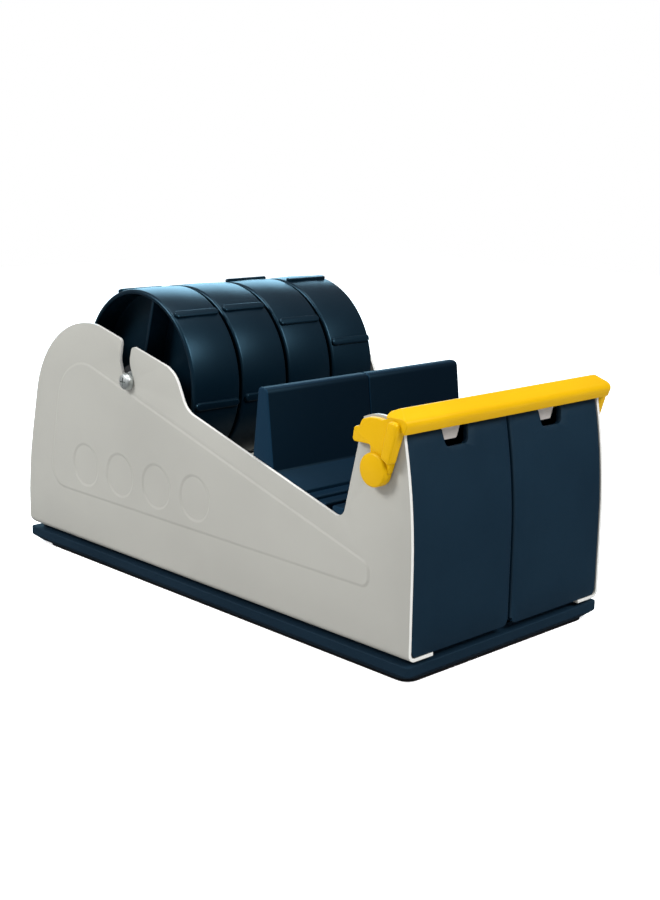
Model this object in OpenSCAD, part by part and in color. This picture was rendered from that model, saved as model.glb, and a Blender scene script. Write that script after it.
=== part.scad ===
// Bench tape dispenser for several rolls. A folded steel body stands on a plastic base, two tape
// lanes end in toothed blades under a swinging guard, and core wheels turn on a lift-out axle.
// Millimetres. +Z is up, the blades face -Y, and the origin is on the table under the middle.

/* [Steel body] */
// Length of the steel body from front edge to rear edge
body_l = 235; // [210:1:260]
// Width over the two side plates
body_w = 107; // [96:0.5:120]
// Thickness of the folded sheet
sheet_t = 1.2; // [0.8:0.1:1.6]
// Outside radius of the two folds along the floor
fold_r = 2.4; // [1.8:0.1:4]
// Height of the rear hump above the underside of the floor
hump_h = 96; // [92:0.5:104]
// Radius of the rear hump
hump_r = 44; // [36:1:46]
// Lean of the rear edge, in degrees from upright
rear_lean = 13.5; // [10:0.5:16]
// Height above the floor's underside where the rear edge starts to lean
lean_h = 25; // [22:1:32]
// Radius of the bottom rear corner of the side plates
heel_r = 6; // [3:0.5:10]
// Distance of the crown behind the axle, where the top edge starts to fall
crown_back = 22.5; // [20:0.5:24]
// Fall of the top edge towards the front, in degrees
crown_fall = 13.6; // [11:0.2:15]
// Distance of the shoulder in front of the axle
shoulder_fore = 31; // [28:0.5:36]
// Steepness of the drop below the shoulder, in degrees
shoulder_drop = 63.4; // [56:0.2:72]
// Slope of the long edge from the shoulder down to the valley, in degrees
slope_fall = 16.2; // [14:0.2:17.5]
// Distance of the valley behind the front edge
valley_back = 32.7; // [31:0.1:36]
// Height of the valley above the floor's underside
valley_h = 44.2; // [40:0.2:48]
// Lean of the front upright's rear edge, in degrees from upright
upright_lean = 14; // [11:0.5:15]
// Height above the floor's underside where the front edge starts to curve back
bend_h = 33; // [24:1:44]
// Radius of the gently curved upper front edge
bend_r = 210; // [190:5:400]

/* [Embossing] */
// Height of the pressed-out field on each side plate
emboss_h = 0.6; // [0.3:0.1:0.8]
// Diameter of the round dimples in the field
dimple_d = 18; // [12:0.2:20]
// Distance between neighbouring dimples
dimple_pitch = 24.8; // [21:0.2:26]
// Height of the row of dimples above the floor's underside
dimple_h = 34.8; // [33.6:0.2:40]
// Distance of the rear dimple behind the axle
dimple_back = 32; // [28:0.5:37]
// Distance of the field's nose behind the front edge
field_front = 19.5; // [14:0.5:22]
// Distance of the field's rear end in front of the rear edge
field_rear = 18; // [16:0.5:24]
// Forward lean of the field's rear edge, in degrees
field_lean = 11.5; // [0:0.5:14]
// Height of the field's lower edge above the floor's underside
field_low = 22; // [18:0.5:24]
// Height of the field at its nose
field_nose = 8.4; // [7.2:0.2:12]

/* [Base] */
// Height of the steel floor's underside above the table
base_h = 9; // [8:0.5:14]
// Thickness of the rubber pad under the base
pad_t = 1.5; // [1:0.1:2.5]
// How far the pad stays inside the base at the sides and front
pad_inset = 3; // [2:0.5:8]
// How far the pad stays inside the base at the rear
pad_inset_rear = 9; // [4:0.5:14]
// Height of the shadow gap between the base wall and the steel
reveal_h = 1; // [0.5:0.1:1.8]
// Wall and rib thickness of the base moulding
base_wall = 2.2; // [1.6:0.1:3]
// Thickness of the base moulding's top
base_top_t = 2.4; // [1.8:0.1:3.5]

/* [Tape lanes] */
// Distance of the middle of the tape wall behind the front edge
wall_back = 76.5; // [72:0.5:84]
// Height of the tape wall above the steel floor
wall_h = 82.3; // [70:0.5:90]
// Thickness of the tape wall along its top
wall_top_t = 5; // [4.6:0.1:8]
// Draft of both faces of the tape wall, in degrees
wall_draft = 6.6; // [4:0.2:7]
// Wall thickness of the lane mouldings
shell_t = 2.2; // [1.6:0.1:2.4]
// Height of the foot where the tape wall meets the sloping ledge, above the steel floor
foot_h = 51.8; // [49:0.2:56]
// Height of the slat tops above the steel floor
slat_top_h = 45.8; // [42:0.2:48]
// Depth of the grooves between the slats
groove_d = 5; // [3:0.5:8]
// Depth of the sloping ledge from the foot to the first groove
ledge_l = 10.6; // [8:0.2:13]
// Width of one slat
slat_w = 4.1; // [3:0.1:5]
// Width of one groove
groove_w = 6.2; // [5:0.1:6.4]
// Gap between the lanes, and between a lane and a side plate
lane_gap = 0.3; // [0.2:0.05:0.5]
// Distance of the lanes' front wall behind the front edge
lane_front_back = 17.5; // [17:0.1:19]
// Height of the blade deck's top above the steel floor
deck_h = 76.8; // [74:0.2:77.4]
// Thickness of the blade deck
deck_t = 2.5; // [2:0.1:3.5]
// Gap between the deck's front edge and the back of a panel's top edge
deck_front_back = 0.2; // [0.1:0.05:0.5]
// How far the deck reaches back over the finger gap
deck_overhang = 2.3; // [1:0.1:4]

/* [Front panels] */
// Wall thickness of the front panels
panel_t = 2.2; // [1.6:0.1:2.4]
// How far the panels sit behind the front edge of the steel
panel_set = 0.6; // [0.2:0.1:1]
// Height of the panels' top edge above the steel floor
panel_h = 76.3; // [72:0.1:76.6]
// Width of the notch in a panel's top edge
notch_w = 13.6; // [11:0.2:18]
// Depth of the notch
notch_d = 6.4; // [5.4:0.2:9]
// Sideways place of the notch and of the blade's tongue, from the middle of the lane
notch_shift = -2; // [-4:0.5:4]

/* [Blades] */
// Thickness of the blade strip
blade_t = 0.8; // [0.5:0.1:1]
// Length of the toothed lip that is bent up over the front edge
lip_l = 2.4; // [1.6:0.1:2.6]
// Rise of the toothed lip, in degrees from level
lip_rise = 50; // [40:1:60]
// Distance between neighbouring teeth
tooth_pitch = 2.4; // [1.6:0.1:3]
// Depth of a tooth
tooth_d = 1.4; // [0.8:0.1:1.5]
// Width of the locating tongue at its root
tongue_w = 9.2; // [7:0.2:10]
// Width of the locating tongue at its tip
tongue_tip_w = 5.5; // [4:0.1:6.5]
// Length of the locating tongue below the deck's top
tongue_l = 4.2; // [3:0.1:4.8]

/* [Guard] */
// Distance of the guard's pivot behind the front edge
pivot_back = 15.2; // [14.8:0.1:16]
// Height of the guard's pivot above the floor's underside
pivot_h = 64.8; // [63.5:0.1:65.5]
// Radius of the upright's rounded top about the pivot
upright_r = 18.3; // [17.6:0.1:18.8]
// Running gap between the upright's rounded top and the guard bar
guard_gap = 0.5; // [0.3:0.1:1]
// Thickness of the guard's ears
ear_t = 2.5; // [2:0.1:3.5]
// Side gap between an ear and its plate
ear_gap = 0.3; // [0.2:0.05:0.6]
// How far the arm's rib stands out of the ear
rib_h = 2; // [1:0.1:3]
// Diameter of the round pivot boss
boss_d = 11.8; // [10:0.2:13]
// How far the pivot boss stands out of the ear
boss_h = 1.4; // [0.6:0.1:2]
// Diameter of the moulded pivot pegs
peg_d = 6; // [4:0.1:8]

/* [Axle and wheels] */
// Distance of the axle from the body's back edge
axle_back = 78; // [73:0.5:83]
// Height of the axle above the floor's underside
axle_h = 75.2; // [72:0.2:78]
// Diameter of the axle rod
axle_d = 8; // [6:0.1:10]
// Width of the axle slots
slot_w = 6.8; // [6.4:0.1:7.2]
// How far the slots bow to the rear half way up
slot_bow = 2.2; // [1.4:0.1:2.3]
// Diameter of the screw neck that rests in a slot
neck_d = 3.9; // [3.4:0.1:4]
// Diameter of the axle screws' heads
head_d = 8; // [7.4:0.1:9]
// Height of the axle screws' heads
head_h = 3.2; // [2.4:0.1:4]
// Radius of a core wheel's rim at its middle
rim_r = 37; // [30:0.5:38]
// Wall thickness of the rim
rim_t = 2.4; // [1.8:0.1:3.5]
// Room for a spacer at each end of the axle
spacer_l = 2.3; // [1.5:0.1:4]
// Gap between neighbouring wheels
wheel_gap = 1.5; // [1:0.1:3]
// How much the rim's radius falls from its middle to its edges
rim_draft = 0.3; // [0:0.05:0.5]
// How far the gripping ribs stand out of the rim
grip_h = 1; // [0.6:0.1:1.4]
// Half the width of a gripping rib, which is also the radius of its round ends
grip_r = 1.3; // [1:0.1:1.6]
// Number of gripping ribs round a wheel
grip_n = 6; // [3:1:12]
// Number of spokes round a wheel
spoke_n = 3; // [3:1:8]
// How far the spokes stay inside the rim's edges
spoke_inset = 1.6; // [0.5:0.1:4]
// Outside diameter of the hub
hub_d = 15; // [13:0.5:20]
// Thickness of the wheel's web and spokes
web_t = 2; // [1.4:0.1:3]

/* [Fits] */
// Radial running clearance of the wheels and the guard's pegs
run_fit = 0.05; // [0.02:0.01:0.1]
// Radial clearance of a screw's shank in its pilot hole
thread_fit = 0.05; // [0.02:0.01:0.1]
// Radial clearance of a screw's shank in a through hole
through_fit = 0.25; // [0.15:0.05:0.4]
// Play along the axle at each loose face
end_play = 0.1; // [0.05:0.05:0.2]
// Gap left between parts that are only pushed together
seat_gap = 0.2; // [0.1:0.05:0.3]

/* [Hidden] */
$fn = 64;
// Largest turn between two points of a rounded outline, in degrees
arc_step = 6;
// Extra length of a cut past the face that it opens
past = 1;

// Colours of the real pieces
paint_grey = [0.72, 0.71, 0.67];
navy = [0.09, 0.16, 0.23];
guard_yellow = [0.96, 0.76, 0.1];
zinc = [0.78, 0.8, 0.8];
blade_steel = [0.85, 0.82, 0.8];
rubber_black = [0.08, 0.08, 0.08];
nylon_white = [0.88, 0.88, 0.85];

// Main places
front_y = -body_l / 2;
rear_y = body_l / 2;
floor_top = base_h + sheet_t;
inner_w = body_w - 2 * sheet_t;
pivot = [front_y + pivot_back, base_h + pivot_h];
axle = [rear_y - axle_back, base_h + axle_h];
valley = [front_y + valley_back, base_h + valley_h];
hump_z = base_h + hump_h;
crown = [axle.x + crown_back, hump_z];
shoulder = [axle.x - shoulder_fore, hump_z - (crown_back + shoulder_fore) * tan(crown_fall)];
bend_z = base_h + bend_h;
bend_centre = [front_y + bend_r, bend_z];

// Lanes
lane_w = (inner_w - 3 * lane_gap) / 2;
lane_x = (lane_w + lane_gap) / 2;
wall_y = front_y + wall_back;
wall_top = floor_top + wall_h;
foot_z = floor_top + foot_h;
foot_y = wall_y - wall_top_t / 2 - (wall_top - foot_z) * tan(wall_draft);
slat_z = floor_top + slat_top_h;
groove_z = slat_z - groove_d;
ledge_y = foot_y - ledge_l;
lane_front = front_y + lane_front_back;
trough_front = lane_front + shell_t;
slat_n = floor((ledge_y - groove_w - trough_front) / (slat_w + groove_w));
deck_z = floor_top + deck_h;
panel_top = floor_top + panel_h;
face_r = bend_r - panel_set;
deck_front = bend_centre.x - sqrt(face_r * face_r - (panel_top - bend_z) * (panel_top - bend_z)) + panel_t
    + deck_front_back;

// Screws
screw_d = 3;
screw_head_d = 5.6;
screw_head_h = 1.9;
insert_boss_d = 8;
insert_screw_spread = 15;
insert_screw_y = ledge_y - groove_w;
insert_screw_grip = 9;
base_screw_x = 40;
base_screw_front = front_y + 28;
base_screw_rear = rear_y - 24;
panel_screw_spread = 15;
panel_screw_z = floor_top + 26;
panel_screw_grip = 8;
blade_screw_spread = 16;
blade_screw_y = lane_front - screw_head_d / 2 - 0.4;
blade_screw_grip = 7;
recess_w = 0.7;
recess_d = 1.1;

// Axle
neck_r = neck_d / 2;
slot_bottom = axle.y - neck_r - end_play;
slot_lift = 8;
slot_mouth_bow = 0.9;
slot_seat_r = 0.46 * slot_w;
slot_seat_shift = slot_seat_r * slot_bow / (slot_lift + neck_r + end_play - slot_seat_r);
axle_l = inner_w - 2 * seat_gap;
axle_screw_grip = 10;
wheel_pitch = (axle_l - 2 * spacer_l) / 4;
rim_w = wheel_pitch - wheel_gap;
hub_l = wheel_pitch - end_play;
wheel_turns = [9.5, 8, 22.5, 40];
spoke_turn = 95;

// Guard
ear_in = body_w / 2 + ear_gap;
ear_out = ear_in + ear_t;
bar_in_r = upright_r + guard_gap;

function flat(p) = [p.x, p.y];
function heading(a) = [cos(a), sin(a)];
function bearing(v) = atan2(v.y, v.x);

// Crossing of the line through p at angle a with the line through q at angle b
function meet(p, a, q, b) =
    let (u = heading(a), v = heading(b), w = q - p)
    p + u * (w.x * v.y - w.y * v.x) / (u.x * v.y - u.y * v.x);

// Where the line from p at angle a leaves the circle of radius r about c
function leave_circle(p, a, c, r) =
    let (u = heading(a), w = p - c)
    p + u * (sqrt((w * u) * (w * u) - w * w + r * r) - w * u);

// The upper crossing of two circles
function circles_meet(c1, r1, c2, r2) =
    let (
        d = norm(c2 - c1),
        u = (c2 - c1) / d,
        a = (r1 * r1 - r2 * r2 + d * d) / (2 * d),
        h = sqrt(r1 * r1 - a * a)
    )
    c1 + u * a + [-u.y, u.x] * h;

// Points of an arc about c, from angle a to angle b
function arc(c, r, a, b) =
    let (n = max(2, ceil(abs(b - a) / arc_step)))
    [for (i = [0:n]) c + r * heading(a + (b - a) * i / n)];

// The corner b between a and c, rounded to radius r
function fillet(a, b, c, r) =
    r <= 0 ? [b] :
    let (
        u = (a - b) / norm(a - b),
        w = (c - b) / norm(c - b),
        half = acos(u * w) / 2,
        o = b + (u + w) / norm(u + w) * r / sin(half),
        start = bearing(b + u * r / tan(half) - o),
        turn = (bearing(b + w * r / tan(half) - o) - start + 540) % 360 - 180
    )
    arc(o, r, start, start + turn);

// An outline from corners [x, y, radius]
function rounded(c) =
    let (n = len(c))
    [for (i = [0:n - 1]) each fillet(flat(c[(i + n - 1) % n]), flat(c[i]), flat(c[(i + 1) % n]), c[i].z)];

function sharp(points) = [for (p = points) [p.x, p.y, 0]];
function corner(p, r) = [p.x, p.y, r];

// Extrusions of a side view along X, and of a front view along Y
module along_x(x0, x1) {
    translate([x0, 0, 0]) rotate([90, 0, 90]) linear_extrude(x1 - x0) children();
}
module along_y(y0, y1) {
    translate([0, y1, 0]) rotate([90, 0, 0]) linear_extrude(y1 - y0) children();
}
module rod_x(x0, x1, r) {
    translate([x0, 0, 0]) rotate([0, 90, 0]) cylinder(h = x1 - x0, r = r);
}
module both_sides() {
    children();
    mirror([1, 0, 0]) children();
}
module rounded_rect(w, y0, y1, r) {
    polygon(rounded([[-w / 2, y0, r], [w / 2, y0, r], [w / 2, y1, r], [-w / 2, y1, r]]));
}

// A pan-head screw with a cross recess, pointing up, with the head's seat at z = 0
module pan_screw(d, head_d, head_h, l) {
    difference() {
        union() {
            cylinder(h = l, d = d);
            rotate([180, 0, 0]) rotate_extrude() polygon(rounded([
                [0, 0, 0], [head_d / 2, 0, 0], [head_d / 2, head_h, head_h * 0.6], [0, head_h, 0]
            ]));
        }
        for (a = [0, 90]) {
            translate([0, 0, -head_h]) rotate(a)
                cube([head_d * 0.55, recess_w, 2 * recess_d], center = true);
        }
    }
}

// Side view of the folded body, with the two axle slots in its top edge
module plate_outline() {
    hump = meet([rear_y, base_h + lean_h], 90 + rear_lean, crown, 0);
    top_at = function (y) crown.y - (crown.x - y) * tan(crown_fall);
    upright = leave_circle(valley, 90 + upright_lean, pivot, upright_r);
    nose = circles_meet(pivot, upright_r, bend_centre, bend_r);
    front_edge = arc(bend_centre, bend_r, bearing(nose - bend_centre), 180);
    half_w = slot_w / 2;
    polygon(rounded(concat(
        [
            [rear_y, base_h, heel_r],
            [rear_y, base_h + lean_h, 150],
            corner(hump, hump_r),
            corner(crown, 24),
            [axle.x + slot_mouth_bow + half_w, top_at(axle.x + slot_mouth_bow + half_w), 2],
            [axle.x + slot_bow + half_w, axle.y + slot_lift, 7],
            [axle.x - slot_seat_shift + half_w, slot_bottom, slot_seat_r],
            [axle.x - slot_seat_shift - half_w, slot_bottom, slot_seat_r],
            [axle.x + slot_bow - half_w, axle.y + slot_lift, 7],
            [axle.x + slot_mouth_bow - half_w, top_at(axle.x + slot_mouth_bow - half_w), 1.6],
            corner(shoulder, 13),
            corner(meet(shoulder, shoulder_drop, valley, slope_fall), 10),
            corner(valley, 2.4)
        ],
        sharp(arc(pivot, upright_r, bearing(upright - pivot), bearing(nose - pivot))),
        sharp([for (i = [1:len(front_edge) - 1]) front_edge[i]]),
        [[front_y, base_h, 0]]
    )));
}

// Side view of the pressed-out field, less its round dimples. Its top line passes just under the
// axle screw's head, and grow moves every edge outwards.
module emboss_outline(grow) {
    nose_y = front_y + field_front - grow;
    low_z = base_h + field_low - grow;
    back_y = rear_y - field_rear + grow * (1 + sin(field_lean)) / cos(field_lean);
    nose_top = [front_y + field_front, base_h + field_low + field_nose];
    top_fall = bearing([axle.x, axle.y - head_d / 2 - 1] - nose_top);
    top_line = nose_top + [0, grow / cos(top_fall)];
    difference() {
        polygon(rounded([
            [back_y, low_z, 9],
            corner(meet([back_y, low_z], 90 + field_lean, top_line, top_fall), 21),
            corner(meet([nose_y, low_z], 90, top_line, top_fall), 3.5),
            [nose_y, low_z, 3.5]
        ]));
        for (i = [0:3]) {
            translate([axle.x + dimple_back - i * dimple_pitch, base_h + dimple_h])
                circle(d = dimple_d - 2 * grow);
        }
    }
}

module steel_body() {
    floor_rear = rear_y - heel_r - 1;
    cutout_x = body_w / 2 - 12.6;
    cutout_l = 9;
    color(paint_grey) difference() {
        union() {
            intersection() {
                along_y(front_y - past, rear_y + past) polygon(rounded([
                    [-body_w / 2, base_h, fold_r],
                    [body_w / 2, base_h, fold_r],
                    [body_w / 2, hump_z + past, 0],
                    [body_w / 2 - sheet_t, hump_z + past, 0],
                    [body_w / 2 - sheet_t, floor_top, fold_r - sheet_t],
                    [-body_w / 2 + sheet_t, floor_top, fold_r - sheet_t],
                    [-body_w / 2 + sheet_t, hump_z + past, 0],
                    [-body_w / 2, hump_z + past, 0]
                ]));
                along_x(-body_w / 2 - past, body_w / 2 + past) plate_outline();
            }
            both_sides() along_x(body_w / 2 - sheet_t / 4, body_w / 2 + emboss_h) emboss_outline(0);
        }
        both_sides() along_x(body_w / 2 - sheet_t - past, body_w / 2 - sheet_t + emboss_h)
            emboss_outline(-emboss_h);
        // The floor stops short of the rounded heels
        translate([-body_w / 2 + fold_r, floor_rear, base_h - past])
            cube([body_w - 2 * fold_r, body_l, sheet_t + 2 * past]);
        // The wide relief in the floor's front edge
        translate([-cutout_x, front_y - past, base_h - past])
            cube([2 * cutout_x, cutout_l + past, sheet_t + 2 * past]);
        // Pivot holes for the guard's pegs
        translate([0, pivot.x, pivot.y]) rod_x(-body_w, body_w, peg_d / 2 + run_fit);
        // Screw holes in the floor
        at_base_screws() translate([0, 0, -past])
            cylinder(h = floor_top + 2 * past, r = screw_d / 2 + thread_fit);
        at_insert_screws() translate([0, 0, -past])
            cylinder(h = floor_top + 2 * past, r = screw_d / 2 + through_fit);
    }
}

module at_base_screws() {
    for (x = [-base_screw_x, base_screw_x], y = [base_screw_front, base_screw_rear])
        translate([x, y, 0]) children();
}
module at_insert_screws() {
    for (lane = [-1, 1], side = [-1, 1])
        translate([lane * lane_x + side * insert_screw_spread, insert_screw_y, 0]) children();
}

module base_tray() {
    inset = 0.5;
    chamfer = 2;
    reveal_inset = 1.6;
    w = body_w - 2 * inset;
    l = body_l - 2 * inset;
    wall_top_z = base_h - reveal_h;
    rim = 4;
    corner_r = 6;
    reveal_r = 5;
    pocket_n = 6;
    pocket_w = (w - 2 * rim - 2 * base_wall) / 3;
    pocket_l = (l - 2 * rim - (pocket_n - 1) * base_wall) / pocket_n;
    boss_r = screw_head_d / 2 + 2;
    head_room = 0.5;
    color(navy) difference() {
        union() {
            difference() {
                union() {
                    intersection() {
                        translate([0, 0, pad_t]) linear_extrude(wall_top_z - pad_t)
                            rounded_rect(w, -l / 2, l / 2, corner_r);
                        along_y(-body_l, body_l) polygon([
                            [-w / 2 + chamfer, pad_t], [w / 2 - chamfer, pad_t], [w / 2, pad_t + chamfer],
                            [w / 2, base_h], [-w / 2, base_h], [-w / 2, pad_t + chamfer]
                        ]);
                        along_x(-body_w, body_w) polygon([
                            [-l / 2 + chamfer, pad_t], [l / 2 - chamfer, pad_t], [l / 2, pad_t + chamfer],
                            [l / 2, base_h], [-l / 2, base_h], [-l / 2, pad_t + chamfer]
                        ]);
                    }
                    translate([0, 0, wall_top_z - past]) linear_extrude(reveal_h + past)
                        rounded_rect(w - 2 * reveal_inset, reveal_inset - l / 2, l / 2 - reveal_inset, reveal_r);
                }
                for (i = [-1:1], j = [0:pocket_n - 1])
                    translate([
                        i * (pocket_w + base_wall) - pocket_w / 2,
                        -l / 2 + rim + j * (pocket_l + base_wall),
                        0
                    ])
                        cube([pocket_w, pocket_l, base_h - base_top_t]);
            }
            at_base_screws() translate([0, 0, pad_t]) cylinder(h = base_h - pad_t, r = boss_r);
            at_insert_screws() translate([0, 0, pad_t]) cylinder(h = base_h - pad_t, r = boss_r);
        }
        at_base_screws() {
            cylinder(h = base_h + past, r = screw_d / 2 + through_fit);
            cylinder(h = base_h - base_top_t, r = screw_head_d / 2 + head_room);
        }
        at_insert_screws() cylinder(h = base_h + past, r = screw_head_d / 2 + head_room);
    }
}

module foot_pad() {
    w = body_w - 2 * pad_inset;
    corner_r = 5;
    color(rubber_black) linear_extrude(pad_t)
        rounded_rect(w, front_y + pad_inset, rear_y - pad_inset_rear, corner_r);
}

module base_screws() {
    seat_z = base_h - base_top_t;
    color(zinc) at_base_screws() translate([0, 0, seat_z])
        pan_screw(screw_d, screw_head_d, screw_head_h, floor_top - seat_z);
}

module insert_screws() {
    color(zinc) at_insert_screws() translate([0, 0, base_h])
        pan_screw(screw_d, screw_head_d, screw_head_h, sheet_t + insert_screw_grip);
}

// One lane moulding: tape wall, sloping ledge, slatted finger trough, front wall and blade deck
module tape_insert(lane) {
    wall_rear = wall_y + wall_top_t / 2;
    floor_rear = wall_rear + wall_h * tan(wall_draft);
    deck_rear = trough_front + deck_overhang;
    slats = [for (i = [0:slat_n - 1]) let (y = ledge_y - groove_w - i * (slat_w + groove_w)) each [
        [y, groove_z, 0.5], [y, slat_z, 0.6], [y - slat_w, slat_z, 0.6], [y - slat_w, groove_z, 0.5]
    ]];
    ceiling = groove_z - shell_t;
    core_top = wall_top - shell_t;
    core_w = wall_top_t / 2 - shell_t;
    core_front = wall_y - core_w - (core_top - ceiling) * tan(wall_draft);
    core_rear = wall_y + core_w + (core_top - floor_top) * tan(wall_draft);
    color(navy) translate([lane * lane_x, 0, 0]) difference() {
        union() {
            difference() {
                intersection() {
                    along_x(-lane_w / 2, lane_w / 2) polygon(rounded(concat(
                        [
                            [floor_rear, floor_top, 0],
                            [wall_rear, wall_top, 1.5],
                            [wall_y - wall_top_t / 2, wall_top, 2.4],
                            [foot_y, foot_z, 1.2],
                            [ledge_y, slat_z, 0.8],
                            [ledge_y, groove_z, 0.5]
                        ],
                        slats,
                        [
                            [trough_front, groove_z, 1],
                            [trough_front, deck_z - deck_t, 1],
                            [deck_rear, deck_z - deck_t, 0.8],
                            [deck_rear, deck_z, 0.8],
                            [deck_front, deck_z, 0],
                            [deck_front, deck_z - deck_t, 0],
                            [lane_front, deck_z - deck_t, 1],
                            [lane_front, floor_top, 0]
                        ]
                    )));
                    along_y(front_y, rear_y) polygon(rounded([
                        [-lane_w / 2, floor_top, 0], [lane_w / 2, floor_top, 0],
                        [lane_w / 2, wall_top, 1.4], [-lane_w / 2, wall_top, 1.4]
                    ]));
                }
                // The hollow underneath runs up into the tape wall
                along_x(-lane_w / 2 + shell_t, lane_w / 2 - shell_t) polygon([
                    [trough_front, floor_top - past],
                    [trough_front, ceiling],
                    [core_front, ceiling],
                    [wall_y - core_w, core_top],
                    [wall_y + core_w, core_top],
                    [core_rear, floor_top],
                    [core_rear, floor_top - past]
                ]);
            }
            for (side = [-1, 1]) {
                translate([side * insert_screw_spread, insert_screw_y, floor_top])
                    cylinder(h = groove_z - floor_top - shell_t / 2, d = insert_boss_d);
                translate([side * blade_screw_spread, blade_screw_y, deck_z - blade_screw_grip - 1])
                    cylinder(h = blade_screw_grip + 1 - deck_t / 2, d = screw_d + 3);
            }
        }
        for (side = [-1, 1]) {
            translate([side * insert_screw_spread, insert_screw_y, floor_top - past])
                cylinder(h = insert_screw_grip + 1 + past, r = screw_d / 2 + thread_fit);
            translate([side * blade_screw_spread, blade_screw_y, deck_z - blade_screw_grip - 0.5])
                cylinder(h = blade_screw_grip + past, r = screw_d / 2 + thread_fit);
            translate([side * panel_screw_spread, lane_front - past, panel_screw_z]) rotate([-90, 0, 0])
                cylinder(h = shell_t + 2 * past, r = screw_d / 2 + through_fit);
        }
    }
}
module tape_insert_left() {
    tape_insert(-1);
}
module tape_insert_right() {
    tape_insert(1);
}

// One front panel: a curved face with a notched top, side flanges and two screw bosses
module front_panel(lane) {
    low_z = floor_top + seat_gap;
    flange_top = deck_z - deck_t - 4;
    notch_draft = 1.2;
    face = arc(bend_centre, face_r, 180 - asin((panel_top - bend_z) / face_r), 180);
    flange = arc(bend_centre, face_r, 180 - asin((flange_top - bend_z) / face_r), 180);
    color(navy) translate([lane * lane_x, 0, 0]) difference() {
        union() {
            along_x(-lane_w / 2, lane_w / 2) polygon(concat(
                face,
                [[front_y + panel_set, low_z], [front_y + panel_set + panel_t, low_z]],
                [for (i = [len(face) - 1:-1:0]) face[i] + [panel_t, 0]]
            ));
            for (x = [-lane_w / 2, lane_w / 2 - panel_t]) {
                along_x(x, x + panel_t) polygon(concat(
                    flange, [[front_y + panel_set, low_z], [lane_front, low_z], [lane_front, flange_top]]
                ));
            }
            along_x(-lane_w / 2, lane_w / 2) polygon([
                [front_y + panel_set, low_z], [lane_front, low_z],
                [lane_front, low_z + panel_t], [front_y + panel_set, low_z + panel_t]
            ]);
            for (side = [-1, 1]) {
                translate([side * panel_screw_spread, front_y + panel_set + panel_t / 2, panel_screw_z])
                    rotate([-90, 0, 0])
                        cylinder(h = lane_front_back - panel_set - panel_t / 2, d = screw_d + 4);
            }
        }
        translate([notch_shift, 0, 0]) along_y(front_y - past, lane_front) polygon(rounded([
            [-notch_w / 2, panel_top + past, 0], [-notch_w / 2 + notch_draft, panel_top - notch_d, 2.2],
            [notch_w / 2 - notch_draft, panel_top - notch_d, 2.2], [notch_w / 2, panel_top + past, 0]
        ]));
        for (side = [-1, 1]) {
            translate([side * panel_screw_spread, lane_front - panel_screw_grip - 0.5, panel_screw_z])
                rotate([-90, 0, 0]) cylinder(h = panel_screw_grip + past, r = screw_d / 2 + thread_fit);
        }
    }
}
module front_panel_left() {
    front_panel(-1);
}
module front_panel_right() {
    front_panel(1);
}

module panel_screws() {
    color(zinc) for (lane = [-1, 1], side = [-1, 1])
        translate([lane * lane_x + side * panel_screw_spread, trough_front, panel_screw_z])
            rotate([90, 0, 0]) pan_screw(screw_d, screw_head_d, screw_head_h, shell_t + panel_screw_grip);
}

// One blade: a strip on the deck, a toothed lip bent up at its front and a tongue bent down
module blade(lane) {
    w = lane_w - 3;
    tooth_n = floor(w / tooth_pitch);
    root = lip_l - tooth_d;
    teeth = [for (i = [0:tooth_n - 1]) let (x = (i - tooth_n / 2) * tooth_pitch) each [
        [x, root], [x + tooth_pitch / 2, lip_l]
    ]];
    half_teeth = tooth_n * tooth_pitch / 2;
    color(blade_steel) translate([lane * lane_x, 0, deck_z]) difference() {
        union() {
            translate([-w / 2, deck_front, 0]) cube([w, lane_front - deck_front + shell_t, blade_t]);
            translate([0, deck_front, 0]) mirror([0, 1, 0]) rotate([lip_rise, 0, 0]) linear_extrude(blade_t)
                polygon(concat([[-half_teeth, 0]], teeth, [[half_teeth, root], [half_teeth, 0]]));
            translate([notch_shift, 0, 0]) along_y(deck_front - blade_t, deck_front) polygon([
                [-tongue_w / 2, blade_t], [-tongue_tip_w / 2, -tongue_l],
                [tongue_tip_w / 2, -tongue_l], [tongue_w / 2, blade_t]
            ]);
        }
        for (side = [-1, 1]) {
            translate([side * blade_screw_spread, blade_screw_y, -past])
                cylinder(h = blade_t + 2 * past, r = screw_d / 2 + through_fit);
        }
    }
}
module blade_left() {
    blade(-1);
}
module blade_right() {
    blade(1);
}

module blade_screws() {
    color(zinc) for (lane = [-1, 1], side = [-1, 1])
        translate([lane * lane_x + side * blade_screw_spread, blade_screw_y, deck_z + blade_t])
            rotate([180, 0, 0]) pan_screw(screw_d, screw_head_d, screw_head_h, blade_t + blade_screw_grip);
}

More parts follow.
